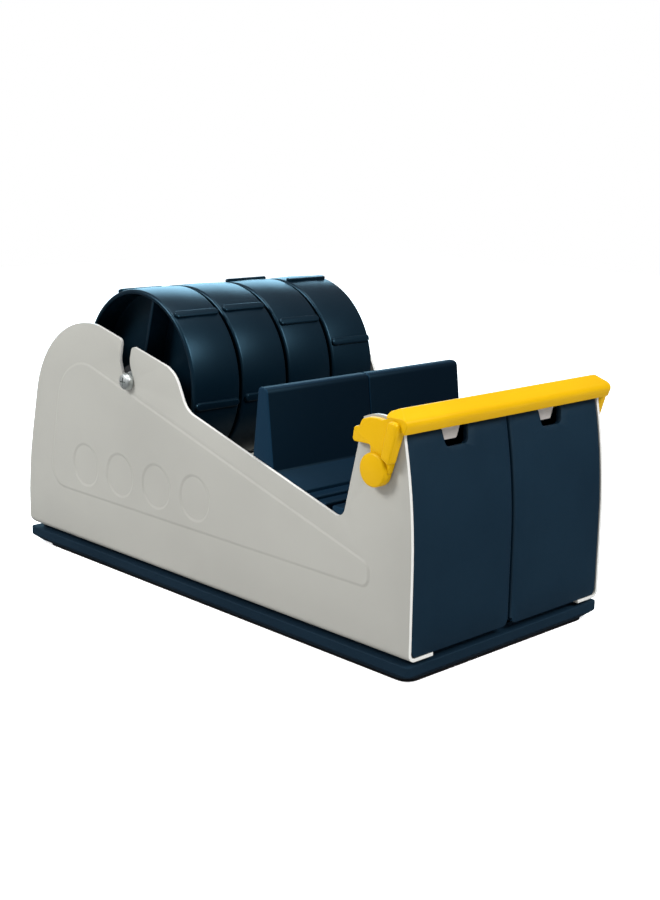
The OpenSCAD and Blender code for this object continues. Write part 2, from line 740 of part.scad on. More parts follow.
// The guard: a wedge-shaped bar over the blades, two flat ears with thumb nubs, stiffened
// arms and round pivot bosses, each with a short peg that snaps into the side plate.
// Its side view keeps in step with the upright's rounded top.
module guard() {
    k = upright_r / 18.3;
    bar_back = 104;
    bar_front = 135;
    boss_r = boss_d / 2;
    ear_r = upright_r - 0.7 * k;
    bar_mid_r = bar_in_r + 1.5 * k;
    color(guard_yellow) translate([0, pivot.x, pivot.y]) union() {
        difference() {
            union() {
                along_x(-ear_out, ear_out) polygon(rounded(concat(
                    sharp(arc([0, 0], bar_in_r, bar_front, bar_back)),
                    k * [[-5.2, 20.3, 0.8], [-8.6, 21.7, 1.3], [-14.7, 17.6, 2.2]]
                )));
                both_sides() along_x(ear_in, ear_out) polygon(rounded(concat(
                    [[-boss_r, -0.5 * k, 0]],
                    k * [[2.3, 0, 0], [2.3, 8.1, 0.9], [10.9, 8.1, 1.3]],
                    k * [[9.9, 13.4, 1.3], [7.6, 13.6, 0.4], [6.4, 16.2, 2]],
                    sharp(arc([0, 0], ear_r, 78, 100)),
                    sharp([bar_mid_r * heading(112), bar_mid_r * heading(128)]),
                    k * [[-10.8, 12.6, 1.5]]
                )));
            }
            // The bar's top corners are cut away at a slant
            both_sides() along_y(-20 * k, 0) polygon([
                [ear_out - 4.5 * k, 22 * k],
                [ear_out - 4.5 * k, 30 * k],
                [ear_out + 10 * k, 30 * k],
                [ear_out + 10 * k, 9.6 * k]
            ]);
        }
        both_sides() {
            along_x(ear_in, ear_out + rib_h) polygon(rounded(k * [
                [-5.8, 2.8, 0.9], [-8, 2.8, 0.9], [-11.1, 13, 6], [-11.5, 17.6, 1.1], [-8.9, 17.6, 1.1]
            ]));
            rod_x(ear_in, ear_out + boss_h, boss_r);
            rod_x(body_w / 2 - sheet_t + end_play, ear_in + ear_t / 2, peg_d / 2);
        }
    }
}

module axle_rod() {
    color(zinc) translate([0, axle.x, axle.y]) difference() {
        rod_x(-axle_l / 2, axle_l / 2, axle_d / 2);
        both_sides() rod_x(axle_l / 2 - axle_screw_grip - 1, axle_l / 2 + past, neck_r + thread_fit);
    }
}

module axle_screws() {
    head_x = body_w / 2 + seat_gap;
    color(zinc) translate([0, axle.x, axle.y]) both_sides() translate([head_x, 0, 0]) rotate([0, -90, 0])
        pan_screw(neck_d, head_d, head_h, head_x - axle_l / 2 + axle_screw_grip);
}

module axle_spacers() {
    color(nylon_white) translate([0, axle.x, axle.y]) both_sides() difference() {
        rod_x(axle_l / 2 - spacer_l + end_play, axle_l / 2, hub_d / 2 - 1);
        rod_x(0, body_w, axle_d / 2 + run_fit);
    }
}

// A core wheel: drafted rim, web, hub, spokes on both sides of the web and gripping ribs
module core_wheel(n) {
    half_w = rim_w / 2;
    spoke_l = half_w - spoke_inset;
    grip_x = half_w - 0.8;
    place = [(n - 2.5) * wheel_pitch, axle.x, axle.y];
    color(navy) translate(place) rotate([wheel_turns[n - 1], 0, 0]) difference() {
        union() {
            rotate([0, 90, 0]) rotate_extrude() polygon(rounded([
                [rim_r - rim_t, -half_w, 0.4],
                [rim_r - rim_draft, -half_w, 0.5],
                [rim_r, 0, 0],
                [rim_r - rim_draft, half_w, 0.5],
                [rim_r - rim_t, half_w, 0.4]
            ]));
            rod_x(-web_t / 2, web_t / 2, rim_r - rim_t / 2);
            rod_x(-hub_l / 2, hub_l / 2, hub_d / 2);
            for (i = [0:spoke_n - 1]) {
                rotate([spoke_turn + i * 360 / spoke_n, 0, 0])
                    translate([-spoke_l, hub_d / 2 - web_t / 2, -web_t / 2])
                        cube([2 * spoke_l, rim_r - rim_t / 2 - hub_d / 2 + web_t / 2, web_t]);
            }
            for (i = [0:grip_n - 1]) {
                rotate([i * 360 / grip_n, 0, 0]) translate([0, rim_r - rim_t / 2, 0]) rotate([-90, 0, 0])
                    linear_extrude(rim_t / 2 + grip_h) polygon(rounded([
                        [-grip_x, -grip_r, 0.98 * grip_r], [grip_x, -grip_r, 0.98 * grip_r],
                        [grip_x, grip_r, 0.98 * grip_r], [-grip_x, grip_r, 0.98 * grip_r]
                    ]));
            }
        }
        rod_x(-hub_l, hub_l, axle_d / 2 + run_fit);
    }
}
module core_wheel_1() {
    core_wheel(1);
}
module core_wheel_2() {
    core_wheel(2);
}
module core_wheel_3() {
    core_wheel(3);
}
module core_wheel_4() {
    core_wheel(4);
}

steel_body();
base_tray();
foot_pad();
base_screws();
tape_insert_left();
tape_insert_right();
insert_screws();
front_panel_left();
front_panel_right();
panel_screws();
blade_left();
blade_right();
blade_screws();
guard();
axle_rod();
axle_screws();
axle_spacers();
core_wheel_1();
core_wheel_2();
core_wheel_3();
core_wheel_4();
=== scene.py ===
import math

import bmesh
import bpy
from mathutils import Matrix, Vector
from mathutils.geometry import delaunay_2d_cdt


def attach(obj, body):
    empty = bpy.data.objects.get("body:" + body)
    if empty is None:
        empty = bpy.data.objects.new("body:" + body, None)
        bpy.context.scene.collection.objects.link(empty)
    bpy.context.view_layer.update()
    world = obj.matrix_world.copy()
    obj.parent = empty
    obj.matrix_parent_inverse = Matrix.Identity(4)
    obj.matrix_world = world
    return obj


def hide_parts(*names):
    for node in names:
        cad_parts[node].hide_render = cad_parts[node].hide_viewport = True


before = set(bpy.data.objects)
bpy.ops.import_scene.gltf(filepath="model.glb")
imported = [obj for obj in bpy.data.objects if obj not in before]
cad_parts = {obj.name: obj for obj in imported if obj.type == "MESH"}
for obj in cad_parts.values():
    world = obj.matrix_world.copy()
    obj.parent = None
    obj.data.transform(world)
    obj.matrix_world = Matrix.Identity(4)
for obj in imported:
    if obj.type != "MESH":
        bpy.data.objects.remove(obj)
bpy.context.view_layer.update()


# Steel body. One sheet of 1.2 mm steel is cut, pressed and folded to a trough with two side
# plates and a floor. A shallow field with four round dimples stiffens each plate, and the
# whole body has a warm light grey powder coat, with a painted highlight along the cut edges.
class Shade:
    """A shader socket with arithmetic, and one method that adds any other node."""

    def __init__(self, tree, socket=None):
        self.tree, self.socket = tree, socket

    def add(self, kind, inputs=None, output=0, stops=None, **settings):
        node = self.tree.nodes.new(kind)
        for key, value in settings.items():
            setattr(node, key, value)
        if stops:
            ramp = node.color_ramp
            while len(ramp.elements) < len(stops):
                ramp.elements.new(1.0)
            for element, (position, colour) in zip(ramp.elements, stops):
                element.position, element.color = position, (*colour, 1)
        for name, value in (inputs or {}).items():
            if isinstance(value, Shade):
                self.tree.links.new(value.socket, node.inputs[name])
            else:
                node.inputs[name].default_value = value
        return Shade(self.tree, node.outputs[output])

    def maths(self, operation, first, second):
        return self.add("ShaderNodeMath", {0: first, 1: second}, operation=operation)

    def __add__(self, other): return self.maths("ADD", self, other)
    def __radd__(self, other): return self.maths("ADD", other, self)
    def __sub__(self, other): return self.maths("SUBTRACT", self, other)
    def __rsub__(self, other): return self.maths("SUBTRACT", other, self)
    def __mul__(self, other): return self.maths("MULTIPLY", self, other)
    def __rmul__(self, other): return self.maths("MULTIPLY", other, self)


def finish(name, colour, paint=None, **constants):
    """A material; paint(start, place) gives the sockets that vary over the surface."""
    material = bpy.data.materials.new(name)
    material.use_nodes = True
    tree = material.node_tree
    shader = next(n for n in tree.nodes if n.type == "BSDF_PRINCIPLED")
    shader.inputs["Base Color"].default_value = (*colour, 1)
    for key, value in constants.items():
        shader.inputs[key.replace("_", " ")].default_value = value
    if paint:
        start = Shade(tree)
        place = start.add("ShaderNodeTexCoord", output="Object")
        for socket, value in paint(start, place).items():
            tree.links.new(value.socket, shader.inputs[socket])
    return material


def noise(start, place, size_mm, detail=2.0, rough=0.5):
    return start.add("ShaderNodeTexNoise", {"Vector": place, "Scale": 1000 / size_mm, "Detail": detail,
                                            "Roughness": rough})


def tint(start, mask, low, high):
    return start.add("ShaderNodeValToRGB", {"Fac": mask}, stops=[(0.3, low), (0.7, high)])


def blend(start, mask, low, high):
    """Two colours mixed by a mask; 6 and 7 are the Mix node's colour inputs, 2 is its colour output."""
    return start.add("ShaderNodeMix", {0: mask, 6: low, 7: high}, output=2, data_type="RGBA")


def face_mark(start, name):
    return start.add("ShaderNodeAttribute", output="Fac", attribute_name=name)


def bump(start, height, depth_mm, strength=1.0):
    return start.add("ShaderNodeBump", {"Height": height, "Distance": depth_mm / 1000, "Strength": strength})


def powder_coat(start, place):
    cloud = noise(start, place, 60, 3)
    peel = noise(start, place, 1.1, 2)
    fleck = noise(start, place, 0.35, 1)
    flat = tint(start, cloud, (0.298, 0.295, 0.27), (0.326, 0.323, 0.296))
    # The cut edges get a pale grey: a painted highlight where the sheet's edges catch the light.
    return {"Base Color": blend(start, face_mark(start, "cut_edge"), flat, (0.55, 0.55, 0.53, 1)),
            "Roughness": 0.4 + 0.1 * peel,
            "Normal": bump(start, peel + 0.4 * fleck, 0.02, 0.5)}


grey_coat = finish("grey_powder_coat", (0.312, 0.309, 0.283), powder_coat, Specular_IOR_Level=0.4)


def heading(degrees):
    return Vector((math.cos(math.radians(degrees)), math.sin(math.radians(degrees))))


def bearing(v):
    return math.degrees(math.atan2(v[1], v[0]))


def arc(centre, radius, first, last, step=3.0):
    count = max(2, math.ceil(abs(last - first) / step))
    return [Vector(centre) + radius * heading(first + (last - first) * i / count) for i in range(count + 1)]


def meet(p, a, q, b):
    """Crossing of the line through p at angle a with the line through q at angle b."""
    u, v, w = heading(a), heading(b), Vector(q) - Vector(p)
    return Vector(p) + u * (w.x * v.y - w.y * v.x) / (u.x * v.y - u.y * v.x)


def rounded(corners, step=4.0):
    """A closed outline from corners (x, y, radius)."""
    points = []
    for i, (x, y, radius) in enumerate(corners):
        here = Vector((x, y))
        if radius <= 0:
            points.append(here)
            continue
        back = (Vector(corners[i - 1][:2]) - here).normalized()
        ahead = (Vector(corners[(i + 1) % len(corners)][:2]) - here).normalized()
        half = math.acos(max(-1, min(1, back.dot(ahead)))) / 2
        centre = here + (back + ahead).normalized() * radius / math.sin(half)
        first = bearing(here + back * radius / math.tan(half) - centre)
        turn = (bearing(here + ahead * radius / math.tan(half) - centre) - first + 540) % 360 - 180
        points += arc(centre, radius, first, first + turn, step)
    return points


def inside(p, loop):
    hit = False
    for a, b in zip(loop, loop[1:] + loop[:1]):
        if (a[1] > p[1]) != (b[1] > p[1]) and p[0] < a[0] + (p[1] - a[1]) * (b[0] - a[0]) / (b[1] - a[1]):
            hit = not hit
    return hit


def fill(loops, keep, lines=()):
    """Triangles between closed loops and along open lines; keep(middle) says which ones stay."""
    points, edges = [], []
    for loop in loops:
        first = len(points)
        points += [Vector(p) for p in loop]
        edges += [(first + i, first + (i + 1) % len(loop)) for i in range(len(loop))]
    for line in lines:
        first = len(points)
        points += [Vector(p) for p in line]
        edges += [(first + i, first + i + 1) for i in range(len(line) - 1)]
    places, _, faces, *_ = delaunay_2d_cdt(points, edges, [], 1, 1e-4)
    return places, [f for f in faces if keep(sum((places[i] for i in f), Vector((0, 0))) / 3)]


def new_object(name, points_mm, faces):
    mesh = bpy.data.meshes.new(name)
    mesh.from_pydata([Vector(p) / 1000 for p in points_mm], [], faces)
    work = bmesh.new()
    work.from_mesh(mesh)
    bmesh.ops.remove_doubles(work, verts=work.verts, dist=2e-6)
    if all(edge.is_manifold for edge in work.edges):
        bmesh.ops.recalc_face_normals(work, faces=work.faces)
    work.to_mesh(mesh)
    work.free()
    piece = bpy.data.objects.new(name, mesh)
    bpy.context.scene.collection.objects.link(piece)
    return piece


def settle(piece, material, smooth=35):
    """Bakes the piece's modifiers into a plain mesh with its finish and smooth shading."""
    bpy.context.view_layer.update()
    mesh = bpy.data.meshes.new_from_object(piece.evaluated_get(bpy.context.evaluated_depsgraph_get()))
    piece.modifiers.clear()
    piece.data = mesh
    mesh.name = piece.name
    mesh.materials.clear()
    mesh.materials.append(material)
    mesh.shade_smooth()
    mesh.set_sharp_from_angle(angle=math.radians(smooth))
    return piece


def bevel(piece, width_mm, angle=40, segments=2):
    step = piece.modifiers.new("edge_break", "BEVEL")
    step.width, step.segments, step.limit_method = width_mm / 1000, segments, "ANGLE"
    step.angle_limit = math.radians(angle)
    return piece


def mark_faces(piece, name, level):
    """Writes level(middle in mm, normal) on each face, for the finish to read."""
    marks = piece.data.attributes.new(name, "FLOAT", "FACE")
    for facet, mark in zip(piece.data.polygons, marks.data):
        mark.value = level(1000 * facet.center, facet.normal)


SHEET, BODY_W, FRONT, REAR, FLOOR_LOW, FOLD, HEEL = 1.2, 107.0, -117.5, 117.5, 9.0, 3.0, 4.0
AXLE, PIVOT, UPRIGHT_R, PEG_HOLE_R = Vector((39.5, 84.2)), Vector((-102.3, 73.8)), 18.3, 3.05
BEND_Z, BEND_R = 42.0, 210.0
PRESS_H, RAMP_W, DIMPLE_R = 0.38, 1.3, 9
DIMPLES = [Vector((AXLE.x + 32 - 24.8 * i, FLOOR_LOW + 34.8)) for i in range(4)]


def front_edge(z, back=0.0):
    """Place of the gently curved front at height z, set back by a distance."""
    curve = 0 if z <= BEND_Z else BEND_R - math.sqrt(BEND_R ** 2 - (z - BEND_Z) ** 2)
    return FRONT + back + curve


def plate_outline():
    """A side plate seen from the side: hump, bowed slot, shoulder, valley, upright and curved front."""
    rear_z, rear_lean, crown, crown_fall = 34, 13.5, Vector((AXLE.x + 22.5, 105.0)), 13.6
    shoulder_y, shoulder_fall, valley, valley_fall = AXLE.x - 29.9, 63.4, Vector((FRONT + 32.7, 52.4)), 16.2
    upright_way, upright_end = heading(104), 124.6
    slot_half, bow_z, foot_z = 3.4, AXLE.y + 8, AXLE.y - 2.05
    mouth_y, bow_y, foot_y = AXLE.x + 0.9, AXLE.x + 2.8, AXLE.x - 1
    top = lambda y: crown.y - (crown.x - y) * math.tan(math.radians(crown_fall))
    hump = meet((REAR, rear_z), 90 + rear_lean, crown, 0)
    shoulder = Vector((shoulder_y, top(shoulder_y)))
    ledge = meet(shoulder, shoulder_fall, valley, valley_fall)
    gap = valley - PIVOT
    along = gap.dot(upright_way)
    upright = valley + upright_way * (math.sqrt(along ** 2 - gap.dot(gap) + UPRIGHT_R ** 2) - along)
    over = arc(PIVOT, UPRIGHT_R, bearing(upright - PIVOT), upright_end)
    nose = [Vector((front_edge(z), z)) for z in (85, 79, 73, 67, 61, 55, 49)]
    corners = [(REAR, FLOOR_LOW, HEEL), (REAR, rear_z, 150), (*hump, 44), (*crown, 24),
               (mouth_y + slot_half, top(mouth_y + slot_half), 2), (bow_y + slot_half, bow_z, 7),
               (foot_y + slot_half, foot_z, 3.12), (foot_y - slot_half, foot_z, 3.12),
               (bow_y - slot_half, bow_z, 7), (mouth_y - slot_half, top(mouth_y - slot_half), 2.3),
               (*shoulder, 13), (*ledge, 10), (*valley, 4)]
    corners += [(*p, 0) for p in over + nose]
    return rounded(corners + [(FRONT, BEND_Z, 0), (FRONT, FLOOR_LOW, 0)])


def field_outline(grow):
    """The edge of the pressed field, moved outwards by a distance."""
    nose_y, nose_r, rear_y, rear_lean, rear_spread = FRONT + 19.5, 3.5, REAR - 18, 101.5, 1.224
    nose_top = Vector((nose_y, FLOOR_LOW + 30.4))
    fall = bearing(Vector((AXLE.x, AXLE.y - 5)) - nose_top)
    top_line = nose_top + Vector((0, grow / math.cos(math.radians(fall))))
    back, low, nose = rear_y + rear_spread * grow, FLOOR_LOW + 22 - grow, nose_y - grow
    return rounded([(back, low, 9 + grow), (*meet((back, low), rear_lean, top_line, fall), 21 + grow),
                    (*meet((nose, low), 90, top_line, fall), nose_r + grow), (nose, low, nose_r + grow)])


FIELD = field_outline(0)


def soft_step(distance):
    """From 0 to 1 over the width of the pressing's ramp, with no crease at either end."""
    t = max(0.0, min(1.0, distance / RAMP_W + 0.5))
    return t * t * (3 - 2 * t)


def pressed_height(p):
    """How far the sheet is pressed out at a place of the side view."""
    here, edge = Vector(p), math.inf
    for a, b in zip(FIELD, FIELD[1:] + FIELD[:1]):
        share = max(0, min(1, (here - a).dot(b - a) / (b - a).length_squared))
        edge = min(edge, (here - a - (b - a) * share).length)
    level = soft_step(edge if inside(p, FIELD) else -edge)
    for dimple in DIMPLES:
        level *= 1 - soft_step(DIMPLE_R - (here - dimple).length)
    return PRESS_H * level


def steel_skin():
    """The outer skin of the folded body: two plates, two folds and the floor's underside."""
    fold_z = FLOOR_LOW + FOLD
    whole = plate_outline()
    outline = []
    for a, b in zip(whole, whole[1:] + whole[:1]):
        if a.y >= fold_z:
            outline.append(a)
        if (a.y >= fold_z) != (b.y >= fold_z):
            outline.append(a + (b - a) * (fold_z - a.y) / (b.y - a.y))
    fold_rear = max(p.x for p in outline if abs(p.y - fold_z) < 1e-6)
    spread = [i / 4 for i in range(-4, 5)]
    peg_hole = arc(PIVOT, PEG_HOLE_R, 0, 360, 10)[:-1]
    loops = [outline, peg_hole] + [field_outline(grow) for grow in spread]
    for dimple in DIMPLES:
        loops += [arc(dimple, DIMPLE_R + grow, 0, 360, 5)[:-1] for grow in spread]
    places, faces = fill(loops, lambda p: inside(p, outline) and not inside(p, peg_hole))
    points, skin = [], []
    for side in (-1, 1):
        first = len(points)
        points += [(side * (BODY_W / 2 + pressed_height(p)), p.x, p.y) for p in places]
        skin += [[first + i for i in (f if side > 0 else f[::-1])] for f in faces]
        bend = [(phi, FOLD - FOLD * math.sin(phi)) for phi in [math.pi / 2 * i / 8 for i in range(9)]]
        for (phi, z), (psi, w) in zip(bend, bend[1:]):
            first = len(points)
            for angle, h in ((phi, z), (psi, w)):
                x = side * (BODY_W / 2 - FOLD + FOLD * math.cos(angle))
                rear = fold_rear if angle == 0 else REAR - HEEL + math.sqrt(HEEL ** 2 - (HEEL - h) ** 2)
                points += [(x, FRONT, FLOOR_LOW + h), (x, rear, FLOOR_LOW + h)]
            quad = [first, first + 2, first + 3, first + 1]
            skin.append(quad if side > 0 else quad[::-1])
    edge, cut, front_cut, rear_cut, screw_r = BODY_W / 2 - FOLD, 40.9, FRONT + 9, REAR - 7, 1.6
    floor = rounded([(-edge, FRONT, 0), (-cut, FRONT, 0.6), (-cut, front_cut, 1.5), (cut, front_cut, 1.5),
                     (cut, FRONT, 0.6), (edge, FRONT, 0), (edge, REAR - HEEL, 0), (edge - 1, rear_cut, 0.6),
                     (1 - edge, rear_cut, 0.6), (-edge, REAR - HEEL, 0)])
    holes = [arc((x, y), screw_r, 0, 360, 20)[:-1] for x in (-40, 40) for y in (-89.5, 93.5)]
    places, faces = fill([floor] + holes, lambda p: inside(p, floor) and not any(inside(p, h) for h in holes))
    first = len(points)
    points += [(p.x, p.y, FLOOR_LOW) for p in places]
    skin += [[first + i for i in f[::-1]] for f in faces]
    return points, skin


def cut_edge(middle, normal):
    """The sheet's cut edges, painted paler as a highlight where they catch the light."""
    at_plate = abs(middle.x) > BODY_W / 2 - SHEET - 0.1 and abs(normal.x) < 0.5
    at_front = middle.y < FRONT + 0.1 and normal.y < -0.7
    return 1.0 if at_plate or at_front else 0.0


steel = new_object("steel_shell", *steel_skin())
thick = steel.modifiers.new("sheet", "SOLIDIFY")
thick.thickness, thick.offset, thick.use_even_offset = SHEET / 1000, -1, True
bevel(steel, 0.3, 60)
settle(steel, grey_coat, 40)
# Marks the cut edges for the painted highlight in the powder coat.
mark_faces(steel, "cut_edge", cut_edge)
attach(steel, "frame")
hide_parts("steel_body")


# Base. A shallow navy moulding screwed under the steel floor. A narrow shadow gap runs round
# its top, and its lower edge is chamfered.
def loft(rings):
    """Skin over closed rings with equal numbers of points, closed at both ends."""
    count = len(rings[0])
    points = [p for ring in rings for p in ring]
    faces = [[i * count + j, i * count + (j + 1) % count, (i + 1) * count + (j + 1) % count, (i + 1) * count + j]
             for i in range(len(rings) - 1) for j in range(count)]
    faces += [list(range(count))[::-1], list(range((len(rings) - 1) * count, len(rings) * count))]
    return points, faces


def flat_ring(half_w, front, rear, radius, z):
    corners = [(-half_w, front, radius), (half_w, front, radius), (half_w, rear, radius), (-half_w, rear, radius)]
    return [(p.x, p.y, z) for p in rounded(corners, 10)]


def matt_navy(start, place):
    cloud = noise(start, place, 45, 3)
    grain = noise(start, place, 0.6, 2, 0.6)
    return {"Base Color": tint(start, cloud, (0.0024, 0.0105, 0.021), (0.0036, 0.0135, 0.026)),
            "Roughness": 0.62 + 0.16 * grain,
            "Normal": bump(start, grain, 0.02, 0.7)}


base_plastic = finish("navy_matt_plastic", (0.003, 0.012, 0.0235), matt_navy, Specular_IOR_Level=0.16,
                      Specular_Tint=(0.6, 0.85, 1, 1))
base = new_object("base_moulding", *loft([
    flat_ring(half, -half_l, half_l, radius, z) for half, half_l, radius, z in [
        (51.4, 115.1, 5.0, 1.5), (53.4, 117.1, 2.1, 3.4), (53.7, 117.4, 1.8, 3.9), (53.7, 117.4, 1.8, 7.1),
        (53.55, 117.25, 1.7, 7.35), (53.2, 116.9, 1.5, 7.45), (49.6, 113.6, 1.2, 7.45), (49.5, 113.5, 1.1, 8.98)]]))
settle(base, base_plastic, 25)
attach(base, "frame")
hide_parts("base_tray")


# Foot pad. A sheet of soft black rubber glued under the base, so that the dispenser does not
# slide when tape is pulled. Its edge is cut square and slightly rubbed.
def sheet_rubber(start, place):
    grit = noise(start, place, 0.8, 3, 0.6)
    smear = noise(start, place, 30, 2)
    return {"Base Color": tint(start, smear, (0.004, 0.004, 0.005), (0.008, 0.008, 0.009)),
            "Roughness": 0.78 + 0.15 * grit,
            "Normal": bump(start, grit, 0.06, 0.8)}


pad_rubber = finish("pad_black_rubber", (0.006, 0.006, 0.007), sheet_rubber, Specular_IOR_Level=0.15)
PAD_HALF, PAD_FRONT, PAD_REAR, PAD_CORNER = 50.5, -114.5, 108.5, 5
pad = new_object("rubber_pad", *loft([
    flat_ring(half, PAD_FRONT + PAD_HALF - half, PAD_REAR - PAD_HALF + half, PAD_CORNER, z)
    for half, z in [(50.3, 0.0), (50.5, 0.2), (50.5, 1.3), (50.4, 1.48)]]))
settle(pad, pad_rubber, 30)
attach(pad, "frame")
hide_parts("foot_pad")


# Hidden screws. Zinc-plated steel pan-head screws hold the base, the lane mouldings and the
# front panels. They stay as the solids have them and only get their plating.
def zinc_plate(start, place):
    swirl = noise(start, place, 2.5, 3)
    scratch = noise(start, place, 0.2, 1)
    return {"Base Color": tint(start, swirl, (0.44, 0.48, 0.48), (0.6, 0.63, 0.62)),
            "Roughness": 0.26 + 0.2 * swirl,
            "Normal": bump(start, scratch, 0.004, 0.5)}


zinc = finish("bright_zinc_plate", (0.52, 0.55, 0.55), zinc_plate, Metallic=0.85)


def dress(node, material):
    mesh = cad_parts[node].data
    mesh.materials.clear()
    mesh.materials.append(material)


for node in ("base_screws", "insert_screws", "panel_screws"):
    dress(node, zinc)


# Tape lanes. Two equal navy mouldings, left and right, screwed to the steel floor from below.
# Each has a drafted wall that the tape runs over, a sloping ledge, and a slatted trough with
# room for the fingers, and carries a blade deck at its front.
def prism(profile, x0, x1, edge, steps=3):
    """A side view drawn out along X, with its end edges rounded over."""
    count = len(profile)
    area = sum(a.x * b.y - b.x * a.y for a, b in zip(profile, profile[1:] + profile[:1]))
    turn = 1 if area > 0 else -1
    inward = []
    for i, here in enumerate(profile):
        a, b = (here - profile[i - 1]).normalized(), (profile[(i + 1) % count] - here).normalized()
        normal = Vector((-(a + b).y, (a + b).x)).normalized() * turn
        inward.append(normal / max(0.5, normal.dot(Vector((-a.y, a.x)) * turn)))
    ends = [(math.sin(math.pi / 2 * i / steps), 1 - math.cos(math.pi / 2 * i / steps)) for i in range(steps + 1)]
    stations = [(x0 + edge * (1 - s), edge * c) for s, c in ends[::-1]]
    stations += [(x1 - edge * (1 - s), edge * c) for s, c in ends]
    rings = [[(x, *(p + n * inset)) for p, n in zip(profile, inward)] for x, inset in stations]
    return loft(rings)


LANE_W, LANE_X, FLOOR_TOP, LANE_FRONT = 51.85, 26.075, 10.2, -100.0
DECK_Z, DECK_FRONT, WALL_FOOT_Z = 87.0, -109.77, 62.0


def lane_profile():
    """A lane seen from the side: tape wall, ledge, slats and, in front of the trough, the blade deck."""
    wall_y, wall_half, wall_top, draft = -41.0, 2.5, 92.5, math.tan(math.radians(6.6))
    low, groove_z, slat_z, deck_low = FLOOR_TOP + 0.02, 51, 56, 84.5
    slats, slat_w, pitch, groove_w, ledge_run = 4, 6, 9.1, 3.1, 9.6
    foot_y = wall_y - wall_half - (wall_top - WALL_FOOT_Z) * draft
    ledge = foot_y - ledge_run
    corners = [(wall_y + wall_half + (wall_top - FLOOR_TOP) * draft, low, 0), (wall_y + wall_half, wall_top, 1.5),
               (wall_y - wall_half, wall_top, 2.4), (foot_y, WALL_FOOT_Z, 1.2), (ledge, slat_z, 0.9),
               (ledge, groove_z, 0.5)]
    for i in range(slats):
        y = ledge - groove_w - pitch * i
        corners += [(y, groove_z, 0.5), (y, slat_z, 0.8), (y - slat_w, slat_z, 0.8), (y - slat_w, groove_z, 0.5)]
    trough = LANE_FRONT + 2.2
    hook = trough + 2.3
    corners += [(trough, groove_z, 1), (trough, deck_low, 1), (hook, deck_low, 0.9), (hook, DECK_Z, 0.9),
                (DECK_FRONT, DECK_Z, 0.8), (DECK_FRONT, deck_low, 0.8), (LANE_FRONT, deck_low, 1),
                (LANE_FRONT, low, 0)]
    return rounded(corners, 9)


def lane_navy(start, place):
    cloud = noise(start, place, 35, 3)
    grain = noise(start, place, 0.3, 2, 0.6)
    # The face mark paints shade on the wall's front and light on the end faces.
    shade_level = face_mark(start, "wall_tone") + 0.08 * cloud
    return {"Base Color": tint(start, shade_level, (0.0003, 0.003, 0.0075), (0.0035, 0.0165, 0.035)),
            "Roughness": 0.42 + 0.14 * grain,
            "Normal": bump(start, grain, 0.01, 0.6)}


def wall_tone(middle, normal):
    """Painted shade and light: the wall's front is painted darkest as shade, and every end face palest as if lit
    from the side.
    """
    front, plain, end = 0.0, 0.44, 0.7
    if abs(normal.x) > 0.7:
        return end
    return front if normal.y < -0.7 and middle.z > WALL_FOOT_Z - 2 else plain


lane_plastic = finish("navy_lane_plastic", (0.0012, 0.0086, 0.02), lane_navy, Specular_IOR_Level=0.15,
                      Specular_Tint=(0.3, 0.7, 1, 1))
for name, lane in (("left", -1), ("right", 1)):
    x = lane * LANE_X
    insert = new_object("lane_" + name, *prism(lane_profile(), x - LANE_W / 2, x + LANE_W / 2, 0.6))
    settle(insert, lane_plastic, 30)
    # Marks the wall's front for painted shade and the end faces for painted light.
    mark_faces(insert, "wall_tone", wall_tone)
    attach(insert, "frame")
    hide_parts("tape_insert_" + name)


# Front panels. Two navy plastic mouldings that close the front, screwed to the lanes from
# inside. Each has a gently curved face, a notch in its top edge for the blade's tongue, and
# flanges that reach back to the lane.
PANEL_LOW, PANEL_TOP, PANEL_T, NOTCH_LOW, NOTCH_SHIFT = 10.25, 86.5, 2.2, 80.1, -2.0


def moulded_navy(start, place):
    cloud = noise(start, place, 45, 3)
    grain = noise(start, place, 0.45, 2, 0.6)
    return {"Base Color": tint(start, cloud, (0.0024, 0.0115, 0.0235), (0.0038, 0.015, 0.029)),
            "Roughness": 0.34 + 0.14 * grain,
            "Normal": bump(start, grain, 0.012, 0.6)}


navy_plastic = finish("navy_satin_plastic", (0.0031, 0.013, 0.026), moulded_navy, Specular_IOR_Level=0.35,
                      Specular_Tint=(0.6, 0.85, 1, 1))


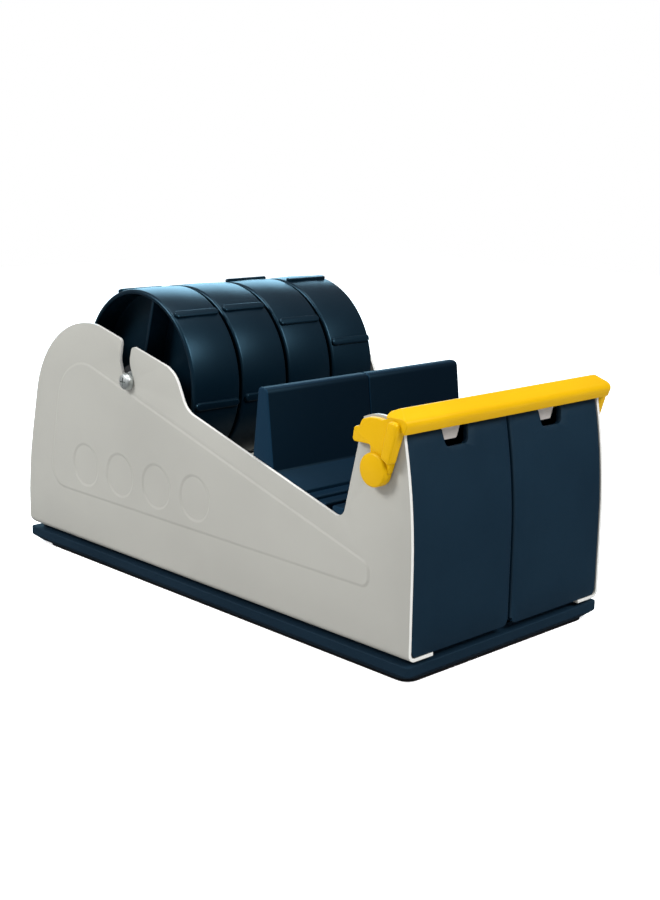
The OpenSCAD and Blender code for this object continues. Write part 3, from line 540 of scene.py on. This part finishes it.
def panel_skin(x, lane):
    """A panel's outer skin: the curved face with its notch, and a flange back along each side.

    The inner side is drawn in a little at the face, which leaves a groove where the panels meet.
    """
    set_back, foot_r, half, groove, groove_deep = 0.25, 2.2, LANE_W / 2 + 0.14, 0.55, 6
    notch_top, notch_floor = 6.8, 5.6
    corners, edges = {lane: 0.5, -lane: 0.8}, {lane: half, -lane: half - groove}
    left, right = corners[-1] - edges[-1], edges[1] - corners[1]
    levels = [PANEL_LOW + foot_r, 20, 30, BEND_Z] + [BEND_Z + 4 * i for i in range(1, 11)]
    outline = rounded([(left, PANEL_LOW, foot_r), (right, PANEL_LOW, foot_r), (right, PANEL_TOP, 0),
                       (NOTCH_SHIFT + notch_top, PANEL_TOP, 0.8), (NOTCH_SHIFT + notch_floor, NOTCH_LOW, 2.2),
                       (NOTCH_SHIFT - notch_floor, NOTCH_LOW, 2.2), (NOTCH_SHIFT - notch_top, PANEL_TOP, 0.8),
                       (left, PANEL_TOP, 0)], 10)
    lines = [[(left, z), (right, z)] for z in levels[1:]]
    lines += [[(across, PANEL_LOW), (across, PANEL_TOP)] for across in (-18, -13, 9, 14, 19)]
    lines += [[(across, PANEL_LOW), (across, NOTCH_LOW)] for across in (-6, -2, 2)]
    places, faces = fill([outline], lambda p: inside(p, outline), lines)
    points = [(x + p.x, front_edge(p.y, set_back), p.y) for p in places]
    skin = [list(f) for f in faces]
    rows, flange_top, flange_end, short_flange = levels + [PANEL_TOP], 80, LANE_FRONT - 0.3, 2.4
    for side in (-1, 1):
        corner, edge = corners[side], edges[side]
        for lower, upper in zip(rows, rows[1:]):
            first = len(points)
            for z in (lower, upper):
                face = front_edge(z, set_back)
                back = flange_end if z < flange_top else face + short_flange
                bend = [(edge - corner + corner * math.sin(t), face + corner - corner * math.cos(t))
                        for t in [math.pi / 8 * i for i in range(5)]]
                bend += [(half, min(face + groove_deep, back - 0.2)), (half, back)]
                points += [(x + side * px, py, z) for px, py in bend]
            row = len(bend)
            for j in range(row - 1):
                quad = [first + j, first + j + 1, first + row + j + 1, first + row + j]
                skin.append(quad if side > 0 else quad[::-1])
    return points, skin


for name, lane in (("left", -1), ("right", 1)):
    panel = new_object("panel_" + name, *panel_skin(lane * LANE_X, lane))
    wall = panel.modifiers.new("wall", "SOLIDIFY")
    wall.thickness, wall.offset, wall.use_even_offset = PANEL_T / 1000, -1, True
    bevel(panel, 0.35, 55)
    settle(panel, navy_plastic, 35)
    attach(panel, "frame")
    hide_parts("front_panel_" + name)


# Blades. Strips of hardened steel, screwed on the decks. A row of teeth is bent up along the
# front, and a tongue bent down in the middle keeps each blade in the notch of its panel.
def lapped_steel(start, place):
    stretched = start.add("ShaderNodeMapping", {"Vector": place, "Scale": (1.0, 14.0, 14.0)})
    lines = noise(start, stretched, 4.0, 4, 0.65)
    # Faces that do not face up, the tongue above all, get a near-white painted highlight; faces that face up keep a
    # plain steel grey.
    painted_highlight = tint(start, lines, (0.6, 0.56, 0.53), (0.7, 0.66, 0.63))
    plain_steel_grey = tint(start, lines, (0.13, 0.13, 0.135), (0.24, 0.24, 0.245))
    return {"Base Color": blend(start, face_mark(start, "on_deck"), painted_highlight, plain_steel_grey),
            "Roughness": 0.24 + 0.22 * lines,
            "Normal": bump(start, lines, 0.01, 0.4)}


# The near-white base colour is a painted highlight, as on the tongue.
blade_steel = finish("lapped_blade_steel", (0.65, 0.61, 0.58), lapped_steel, Metallic=0.35)


def node_tree_for_repeats():
    """Sets copies of one piece along a line, each turned a step further about the line's points."""
    tree = bpy.data.node_groups.new("repeat_piece", "GeometryNodeTree")
    for name, kind in [("Piece", "NodeSocketObject"), ("Count", "NodeSocketInt"), ("Start", "NodeSocketVector"),
                       ("Step", "NodeSocketVector"), ("First turn", "NodeSocketVector"),
                       ("Turn step", "NodeSocketVector"), ("Finish", "NodeSocketMaterial")]:
        tree.interface.new_socket(name, in_out="INPUT", socket_type=kind)
    tree.interface.new_socket("Geometry", in_out="OUTPUT", socket_type="NodeSocketGeometry")
    nodes, link = tree.nodes, tree.links.new
    given, result = nodes.new("NodeGroupInput"), nodes.new("NodeGroupOutput")
    line, info = nodes.new("GeometryNodeMeshLine"), nodes.new("GeometryNodeObjectInfo")
    index, scaled = nodes.new("GeometryNodeInputIndex"), nodes.new("ShaderNodeVectorMath")
    summed, copies = nodes.new("ShaderNodeVectorMath"), nodes.new("GeometryNodeInstanceOnPoints")
    real, coat = nodes.new("GeometryNodeRealizeInstances"), nodes.new("GeometryNodeSetMaterial")
    scaled.operation, summed.operation = "SCALE", "ADD"
    link(given.outputs["Count"], line.inputs["Count"])
    link(given.outputs["Start"], line.inputs["Start Location"])
    link(given.outputs["Step"], line.inputs["Offset"])
    link(given.outputs["Piece"], info.inputs["Object"])
    link(given.outputs["Turn step"], scaled.inputs[0])
    link(index.outputs[0], scaled.inputs["Scale"])
    link(given.outputs["First turn"], summed.inputs[0])
    link(scaled.outputs[0], summed.inputs[1])
    link(line.outputs[0], copies.inputs["Points"])
    link(info.outputs["Geometry"], copies.inputs["Instance"])
    link(summed.outputs[0], copies.inputs["Rotation"])
    link(copies.outputs[0], real.inputs[0])
    link(real.outputs[0], coat.inputs["Geometry"])
    link(given.outputs["Finish"], coat.inputs["Material"])
    link(coat.outputs[0], result.inputs[0])
    return tree


repeat_piece = node_tree_for_repeats()


def repeats(piece, material, count, start=(0, 0, 0), step=(0, 0, 0), first=(0, 0, 0), turn=(0, 0, 0)):
    """A plain mesh of copies of a piece; places in millimetres, turns in degrees."""
    holder = bpy.data.objects.new("holder", bpy.data.meshes.new("holder"))
    bpy.context.scene.collection.objects.link(holder)
    maker = holder.modifiers.new("repeat", "NODES")
    maker.node_group = repeat_piece
    values = {"Piece": piece, "Count": count, "Start": [v / 1000 for v in start], "Step": [v / 1000 for v in step],
              "First turn": [math.radians(v) for v in first], "Turn step": [math.radians(v) for v in turn],
              "Finish": material}
    for item in repeat_piece.interface.items_tree:
        if item.item_type == "SOCKET" and item.in_out == "INPUT":
            maker[item.identifier] = values[item.name]
    bpy.context.view_layer.update()
    mesh = bpy.data.meshes.new_from_object(holder.evaluated_get(bpy.context.evaluated_depsgraph_get()))
    bpy.data.objects.remove(holder)
    return mesh


def joined(name, material, meshes, smooth=35):
    """One piece from several meshes."""
    work = bmesh.new()
    for mesh in meshes:
        work.from_mesh(mesh)
    whole = bpy.data.meshes.new(name)
    work.to_mesh(whole)
    work.free()
    piece = bpy.data.objects.new(name, whole)
    bpy.context.scene.collection.objects.link(piece)
    return settle(piece, material, smooth)


def plate(outline, thick, place):
    """A flat outline with a thickness; place(a, b, depth) gives each point."""
    count = len(outline)
    points = [place(p[0], p[1], d) for d in (0, thick) for p in outline]
    faces = [list(range(count))[::-1], list(range(count, 2 * count))]
    faces += [[j, (j + 1) % count, count + (j + 1) % count, count + j] for j in range(count)]
    return new_object("plate", points, faces)


def box(x0, x1, y0, y1):
    return [Vector((x0, y0)), Vector((x1, y0)), Vector((x1, y1)), Vector((x0, y1))]


def drop(*pieces):
    for piece in pieces:
        bpy.data.objects.remove(piece)


BLADE_T, BLADE_HALF, BLADE_REAR, LIP_HALF, LIP_H = 0.8, LANE_W / 2 - 1.5, -97.8, 24, 1.05
LIP_RISE, TEETH, TOOTH_PITCH, TOOTH_H, POINT = heading(50), 20, 2.4, 2.35, 0.08
TONGUE_TOP, TONGUE_LOW, ROOT_HALF, TIP_HALF = DECK_Z + 0.7, DECK_Z - 5.2, 5.3, 3.1


def on_deck(across, along, depth):
    return across, along, DECK_Z + 0.01 + depth


def on_lip(across, rise, depth):
    return (across, DECK_FRONT - rise * LIP_RISE.x + depth * LIP_RISE.y,
            DECK_Z + rise * LIP_RISE.y + depth * LIP_RISE.x)


def on_front(across, height, depth):
    return across, DECK_FRONT - 0.02 - depth, height


for name, lane in (("left", -1), ("right", 1)):
    x = lane * LANE_X
    middle, root = x + NOTCH_SHIFT, TOOTH_PITCH / 2
    strip = plate(rounded([(x - BLADE_HALF, DECK_FRONT, 0), (x + BLADE_HALF, DECK_FRONT, 0),
                           (x + BLADE_HALF, BLADE_REAR, 1.5), (x - BLADE_HALF, BLADE_REAR, 1.5)], 15),
                  BLADE_T, on_deck)
    lip = plate(box(x - LIP_HALF, x + LIP_HALF, 0, LIP_H), BLADE_T, on_lip)
    tooth = plate([Vector((-root, 0.9)), Vector((root, 0.9)), Vector((root, 1.0)), Vector((POINT, TOOTH_H)),
                   Vector((-POINT, TOOTH_H)), Vector((-root, 1.0))], BLADE_T, on_lip)
    tongue = plate(rounded([(middle - ROOT_HALF, TONGUE_TOP, 0), (middle - TIP_HALF, TONGUE_LOW, 0.8),
                            (middle + TIP_HALF, TONGUE_LOW, 0.8), (middle + ROOT_HALF, TONGUE_TOP, 0)], 15),
                   BLADE_T, on_front)
    first_tooth = x - (TEETH - 1) / 2 * TOOTH_PITCH
    teeth = repeats(tooth, blade_steel, TEETH, (first_tooth, 0, 0), (TOOTH_PITCH, 0, 0))
    blade = joined("toothed_blade_" + name, blade_steel, [strip.data, lip.data, tongue.data, teeth], 30)
    drop(strip, lip, tooth, tongue)
    # Marks the faces that face up; the others carry the painted highlight.
    mark_faces(blade, "on_deck", lambda middle, normal: 1.0 if normal.z > 0.4 else 0.0)
    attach(blade, "frame")
    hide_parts("blade_" + name)


# Blade screws. Small zinc-plated pan-head screws with a cross recess, two to a blade, driven
# down through the blade into the deck under the guard bar.
def lathe(profile, place, segments=40):
    """A profile of (radius, height) spun about its own axis; place(x, y, h) gives each point."""
    turns = [2 * math.pi * i / segments for i in range(segments)]
    return loft([[place(r * math.cos(t), r * math.sin(t), h) for t in turns] for r, h in profile])


def pan_head(diameter, height, shank, length, recess):
    """A screw along +Z with its seat at zero, its head below and a cross recess in the head."""
    radius, recess_half, recess_deep = diameter / 2, 0.32, 1.2
    dome = [(radius * 0.12, -height), (radius * 0.6, -height * 0.97), (radius * 0.85, -height * 0.82),
            (radius * 0.97, -height * 0.52), (radius, -height * 0.25), (radius * 0.97, 0), (shank / 2, 0),
            (shank / 2, length - 0.6), (shank / 2 - 0.5, length)]
    body = new_object("screw", *lathe(dome, lambda x, y, h: (x, y, h)))
    for wide, deep in ((recess, recess_half), (recess_half, recess)):
        cross = plate(box(-wide, wide, -deep, deep), 2 * recess_deep,
                      lambda a, b, d: (a, b, -height - recess_deep + d))
        cut = body.modifiers.new("recess", "BOOLEAN")
        cut.operation, cut.object, cut.solver = "DIFFERENCE", cross, "EXACT"
        settle(body, zinc)
        drop(cross)
    return body


SCREW_APART, SCREW_Y = 32, LANE_FRONT - 3.2
small_screw = pan_head(diameter=5.6, height=1.9, shank=3.0, length=7.6, recess=1.5)
screw_meshes = [repeats(small_screw, zinc, 2, (lane * LANE_X - SCREW_APART / 2, SCREW_Y, DECK_Z + BLADE_T),
                        (SCREW_APART, 0, 0), first=(180, 0, 25), turn=(0, 0, 40)) for lane in (-1, 1)]
blade_screws = joined("blade_pan_screws", zinc, screw_meshes)
drop(small_screw)
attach(blade_screws, "frame")
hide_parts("blade_screws")


# Guard. One yellow plastic moulding that swings forward off the blades: a wedge-shaped bar, and
# at each end an ear with a thumb nub, a ribbed arm, and a round boss whose short peg turns in
# the side plate.
def satin_yellow(start, place):
    cloud = noise(start, place, 40, 3)
    grain = noise(start, place, 0.6, 2)
    return {"Base Color": tint(start, cloud, (0.51, 0.288, 0.0006), (0.557, 0.321, 0.001)),
            "Roughness": 0.3 + 0.12 * grain,
            "Normal": bump(start, grain, 0.008, 0.5)}


yellow = finish("guard_yellow_plastic", (0.555, 0.318, 0.0008), satin_yellow, Specular_IOR_Level=0.25,
                Specular_Tint=(1, 0.8, 0.3, 1))
EAR_IN, EAR_OUT, RIB_OUT, BOSS_OUT, BAR_IN = 53.8, 56.3, 58.3, 57.7, 18.8
BOSS_R, PEG_R, PEG_END, BAR_CUT_Z, BAR_CUT_SLANT = 5.9, 3.0, 52.4, PIVOT.y + 18.7, 0.855


def guard_bar():
    """The bar, with its top corners cut away at a slant and its edges rounded."""
    section = rounded([(*p, 0) for p in arc((0, 0), BAR_IN, 134, 104.5)]
                      + [(-5.2, 20.3, 0.8), (-8.6, 21.7, 1.6), (-14.7, 17.6, 2.2)], 8)
    bar = new_object("guard_moulding", *prism([p + PIVOT for p in section], -EAR_OUT, EAR_OUT, 0.5))
    work = bmesh.new()
    work.from_mesh(bar.data)
    for side in (-1, 1):
        cut = bmesh.ops.bisect_plane(work, geom=work.verts[:] + work.edges[:] + work.faces[:], dist=1e-7,
                                     plane_co=(side * EAR_OUT / 1000, 0, BAR_CUT_Z / 1000),
                                     plane_no=(side * BAR_CUT_SLANT, 0, 1), clear_outer=True)
        bmesh.ops.edgeloop_fill(work, edges=[e for e in cut["geom_cut"] if isinstance(e, bmesh.types.BMEdge)])
    work.to_mesh(bar.data)
    work.free()
    return settle(bevel(bar, 0.8, 32, 4), yellow)


def ear_outline():
    """The arm and ear about the pivot, with the thumb nub at the rear."""
    outer_r = 20.3
    corners = [(-6.2, -0.5, 0), (2.3, 0, 0), (2.3, 8.1, 0.9), (10.9, 8.1, 1.3), (9.9, 13.4, 1.3), (7.6, 13.6, 0.4),
               (6.4, 16.2, 2)]
    corners += [(*p, 0) for p in arc((0, 0), UPRIGHT_R - 0.7, 78, 100)]
    corners += [(*(outer_r * heading(112)), 0), (*(outer_r * heading(128)), 0), (-10.8, 12.6, 1.5)]
    return [p + PIVOT for p in rounded(corners, 8)]


def arm_rib():
    """The raised rib on the outside of the arm, about the pivot."""
    corners = [(-4.2, 4.9, 0.9), (-8, 2.8, 0.9), (-11.1, 13, 6), (-11.5, 17.6, 1.6), (-7.2, 17.6, 1.6)]
    return [p + PIVOT for p in rounded(corners, 8)]


def mirrored_span(side, near, far):
    return (near, far) if side > 0 else (-far, -near)


guard = guard_bar()
boss_profile = [(5.6, EAR_IN), (BOSS_R, EAR_IN + 0.3), (BOSS_R, BOSS_OUT - 0.7), (5.7, BOSS_OUT - 0.25),
                (5.2, BOSS_OUT)]
peg_profile = [(PEG_R, PEG_END), (PEG_R, EAR_IN + 1)]
for side in (-1, 1):
    on_pivot = lambda x, y, h: (side * h, PIVOT.x + x, PIVOT.y + y * side)
    parts = [new_object("ear", *prism(ear_outline(), *mirrored_span(side, EAR_IN, EAR_OUT), 0.5)),
             new_object("rib", *prism(arm_rib(), *mirrored_span(side, EAR_IN + 0.4, RIB_OUT), 0.8)),
             new_object("boss", *lathe(boss_profile, on_pivot, 48)),
             new_object("peg", *lathe(peg_profile, on_pivot, 36))]
    for part in parts:
        weld = guard.modifiers.new("weld", "BOOLEAN")
        weld.operation, weld.object, weld.solver = "UNION", part, "EXACT"
        settle(guard, yellow, 40)
        drop(part)
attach(guard, "guard")
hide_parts("guard")


# Axle. A plain zinc-plated steel rod, tapped at both ends, with a nylon washer at each end that
# takes up the side play of the wheels. Both stay as the solids have them.
def turned_nylon(start, place):
    cloud = noise(start, place, 6, 2)
    return {"Base Color": tint(start, cloud, (0.006, 0.007, 0.009), (0.011, 0.012, 0.014)),
            "Roughness": 0.45 + 0.1 * cloud}


nylon = finish("black_nylon", (0.008, 0.009, 0.011), turned_nylon)
dress("axle_rod", zinc)
dress("axle_spacers", nylon)


# Axle screws. Two larger zinc-plated pan-head screws. Their necks rest in the bowed slots of
# the side plates and their heads keep the axle between them.
SEAT_X = 53.7
axle_screw = pan_head(diameter=7.0, height=2.9, shank=3.9, length=11.3, recess=1.9)
axle_screws = joined("axle_pan_screws", zinc, [
    repeats(axle_screw, zinc, 1, (side * SEAT_X, AXLE.x, AXLE.y), first=(0, -side * 90, 0)) for side in (-1, 1)])
drop(axle_screw)
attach(axle_screws, "spindle")
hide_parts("axle_screws")


# Core wheels. Four navy plastic mouldings that turn on the axle, each with a slightly drafted
# rim, a web, spokes and a hub. Six round-ended ribs on the rim grip the tape's paper core.
RIM_R, RIM_T, HALF_W, HUB_R, HUB_HALF, BORE_R, WEB_HALF = 37.0, 2.4, 11.7, 7.5, 12.4, 4.05, 1
GRIPS, SPOKES, SPOKE_T, SPOKE_TURN, SEGMENTS = 6, 3, 1.6, 95, 144
PITCH, TURNS = 24.9, (9.5, 8.0, 22.5, 40.0)


def deep_navy(start, place):
    cloud = noise(start, place, 35, 3)
    grain = noise(start, place, 0.3, 2, 0.6)
    return {"Base Color": tint(start, cloud, (0.001, 0.0049, 0.0098), (0.0015, 0.0066, 0.0125)),
            "Roughness": 0.26 + 0.14 * grain,
            "Normal": bump(start, grain, 0.01, 0.6)}


gloss_navy = finish("navy_gloss_plastic", (0.0015, 0.007, 0.0135), deep_navy, Specular_IOR_Level=0.3,
                    Specular_Tint=(0.3, 0.7, 1, 1))


def wheel_body():
    """Rim, web and hub in one closed outline, spun about the axle."""
    inner, draft, crown = RIM_R - RIM_T, 0.2, 0.3
    outline = rounded([(BORE_R, -HUB_HALF, 0.3), (HUB_R, -HUB_HALF, 0.5), (HUB_R - draft, -WEB_HALF, 0.8),
                       (inner, -WEB_HALF, 0.8), (inner + draft, -HALF_W, 0.5), (RIM_R - crown, -HALF_W, 1.1),
                       (RIM_R, 0, 60), (RIM_R - crown, HALF_W, 1.1), (inner + draft, HALF_W, 0.5),
                       (inner, WEB_HALF, 0.8), (HUB_R - draft, WEB_HALF, 0.8), (HUB_R, HUB_HALF, 0.5),
                       (BORE_R, HUB_HALF, 0.3)], 20)
    rings = [[(p.y, p.x * math.cos(t), p.x * math.sin(t)) for p in outline]
             for t in [2 * math.pi * i / SEGMENTS for i in range(SEGMENTS)]]
    count = len(outline)
    points = [p for ring in rings for p in ring]
    faces = [[i * count + j, i * count + (j + 1) % count, (i + 1) % SEGMENTS * count + (j + 1) % count,
              (i + 1) % SEGMENTS * count + j] for i in range(SEGMENTS) for j in range(count)]
    return new_object("wheel", points, faces)


def grip_rib():
    """A low round-ended bead along the rim, on the +Y side of the wheel."""
    rings = []
    for half_x, half_z, r in [(10.9, 1.6, RIM_R - 0.6), (10.9, 1.6, RIM_R + 0.4), (10.8, 1.5, RIM_R + 0.72),
                              (10.5, 1.2, RIM_R + 0.94), (10.2, 0.8, RIM_R + 0.99)]:
        end_r = half_z * 0.98
        corners = [(-half_x, -half_z, end_r), (half_x, -half_z, end_r), (half_x, half_z, end_r),
                   (-half_x, half_z, end_r)]
        rings.append([(p.x, r, p.y) for p in rounded(corners, 15)])
    return new_object("grip", *loft(rings))


def spoke():
    """A flat rib from the hub to the rim, on the +Y side of the wheel."""
    half, taper, hub_end, rim_end = HALF_W - 1.6, 0.3, HUB_R - 1, RIM_R - RIM_T + 0.6
    outline = rounded([(-half, hub_end, 0), (half, hub_end, 0), (half - taper, rim_end, 0),
                       (-half + taper, rim_end, 0)])
    return plate(outline, SPOKE_T, lambda a, b, d: (a, b, d - SPOKE_T / 2))


grip, arm, rim = grip_rib(), spoke(), wheel_body()
bevel(arm, 0.3, 40)
settle(arm, gloss_navy)
for number, turn in enumerate(TURNS, 1):
    place = ((number - 2.5) * PITCH, AXLE.x, AXLE.y)
    wheel = joined(f"tape_wheel_{number}", gloss_navy, [
        repeats(rim, gloss_navy, 1, place, first=(turn, 0, 0)),
        repeats(grip, gloss_navy, GRIPS, place, first=(turn, 0, 0), turn=(360 / GRIPS, 0, 0)),
        repeats(arm, gloss_navy, SPOKES, place, first=(turn + SPOKE_TURN, 0, 0), turn=(360 / SPOKES, 0, 0))], 30)
    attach(wheel, f"wheel_{number}")
    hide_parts(f"core_wheel_{number}")
drop(grip, arm, rim)


# Floor and light. A plain white paper floor under soft studio light from the left, the front and
# above, with a cool light behind. The paper throws less light back up than it shows.
def lit_paper(start, place):
    seen = start.add("ShaderNodeLightPath", output="Is Camera Ray")
    return {"Base Color": blend(start, seen, (0.5, 0.5, 0.5, 1), (0.93, 0.93, 0.93, 1)),
            "Emission Color": blend(start, seen, (0.5, 0.5, 0.5, 1), (1, 1, 1, 1))}


paper = finish("white_paper", (0.93, 0.93, 0.93), lit_paper, Roughness=0.9, Specular_IOR_Level=0.1,
               Emission_Strength=0.6)
PAPER_HALF = 1300
floor = new_object("paper_floor", [(*p, 0) for p in box(-PAPER_HALF, PAPER_HALF, -PAPER_HALF, PAPER_HALF)],
                   [[0, 1, 2, 3]])
settle(floor, paper)
floor.visible_glossy = False


AIM = Vector((0, 0, 0.06))


def soft_light(name, place, size, power, colour=(1, 1, 1)):
    """A round softbox that points at the middle of the dispenser; place and size in metres."""
    lamp = bpy.data.lights.new(name, "AREA")
    lamp.shape, lamp.size, lamp.energy, lamp.color = "DISK", size, power, colour
    holder = bpy.data.objects.new(name, lamp)
    holder.location = place
    holder.rotation_euler = (AIM - Vector(place)).to_track_quat("-Z", "Y").to_euler()
    bpy.context.scene.collection.objects.link(holder)


soft_light("key_softbox", (-0.82, 0.36, 0.75), 0.4, 12.2)
soft_light("front_softbox", (0.2, -0.92, 0.86), 0.6, 15)
soft_light("top_softbox", (0.1, -0.05, 1.2), 0.6, 6)
soft_light("rim_softbox", (0.6, 0.85, 0.5), 0.7, 5.2, (0.4, 0.76, 1))
world = bpy.data.worlds.new("studio")
bpy.context.scene.world = world
world.use_nodes = True
sky = next(n for n in world.node_tree.nodes if n.type == "BACKGROUND")
dome = Shade(world.node_tree)
towards = dome.add("ShaderNodeTexCoord", output="Generated")
upward = dome.add("ShaderNodeSeparateXYZ", {0: towards}, output=2)
right = dome.add("ShaderNodeSeparateXYZ", {0: towards}, output=0)
room = dome.add("ShaderNodeValToRGB", {"Fac": 0.5 + 0.4 * upward - 0.2 * right},
                stops=[(0.36, (0.06, 0.06, 0.06)), (0.6, (0.2, 0.205, 0.215)), (0.9, (0.6, 0.6, 0.6))])
seen = dome.add("ShaderNodeLightPath", output="Is Camera Ray")
backdrop = blend(dome, seen, room, (1, 1, 1, 1))
world.node_tree.links.new(backdrop.socket, sky.inputs["Color"])
bpy.context.scene.view_settings.view_transform = "Standard"

# Camera. A long lens that looks from the front left and slightly above, with a little roll.
YAW, PITCH_DOWN, ROLL = math.radians(46.08), math.radians(12.65), math.radians(0.79)
ahead = Vector((math.cos(YAW) * math.cos(PITCH_DOWN), math.sin(YAW) * math.cos(PITCH_DOWN), -math.sin(PITCH_DOWN)))
lens = bpy.data.cameras.new("view")
lens.lens, lens.clip_start, lens.clip_end = 55.2, 0.01, 50
camera = bpy.data.objects.new("view", lens)
camera.location = (-0.3757, -0.4127, 0.1802)
camera.rotation_euler = ahead.to_track_quat("-Z", "Y").to_euler()
camera.rotation_euler.rotate_axis("Z", ROLL)
bpy.context.scene.collection.objects.link(camera)
bpy.context.scene.camera = camera
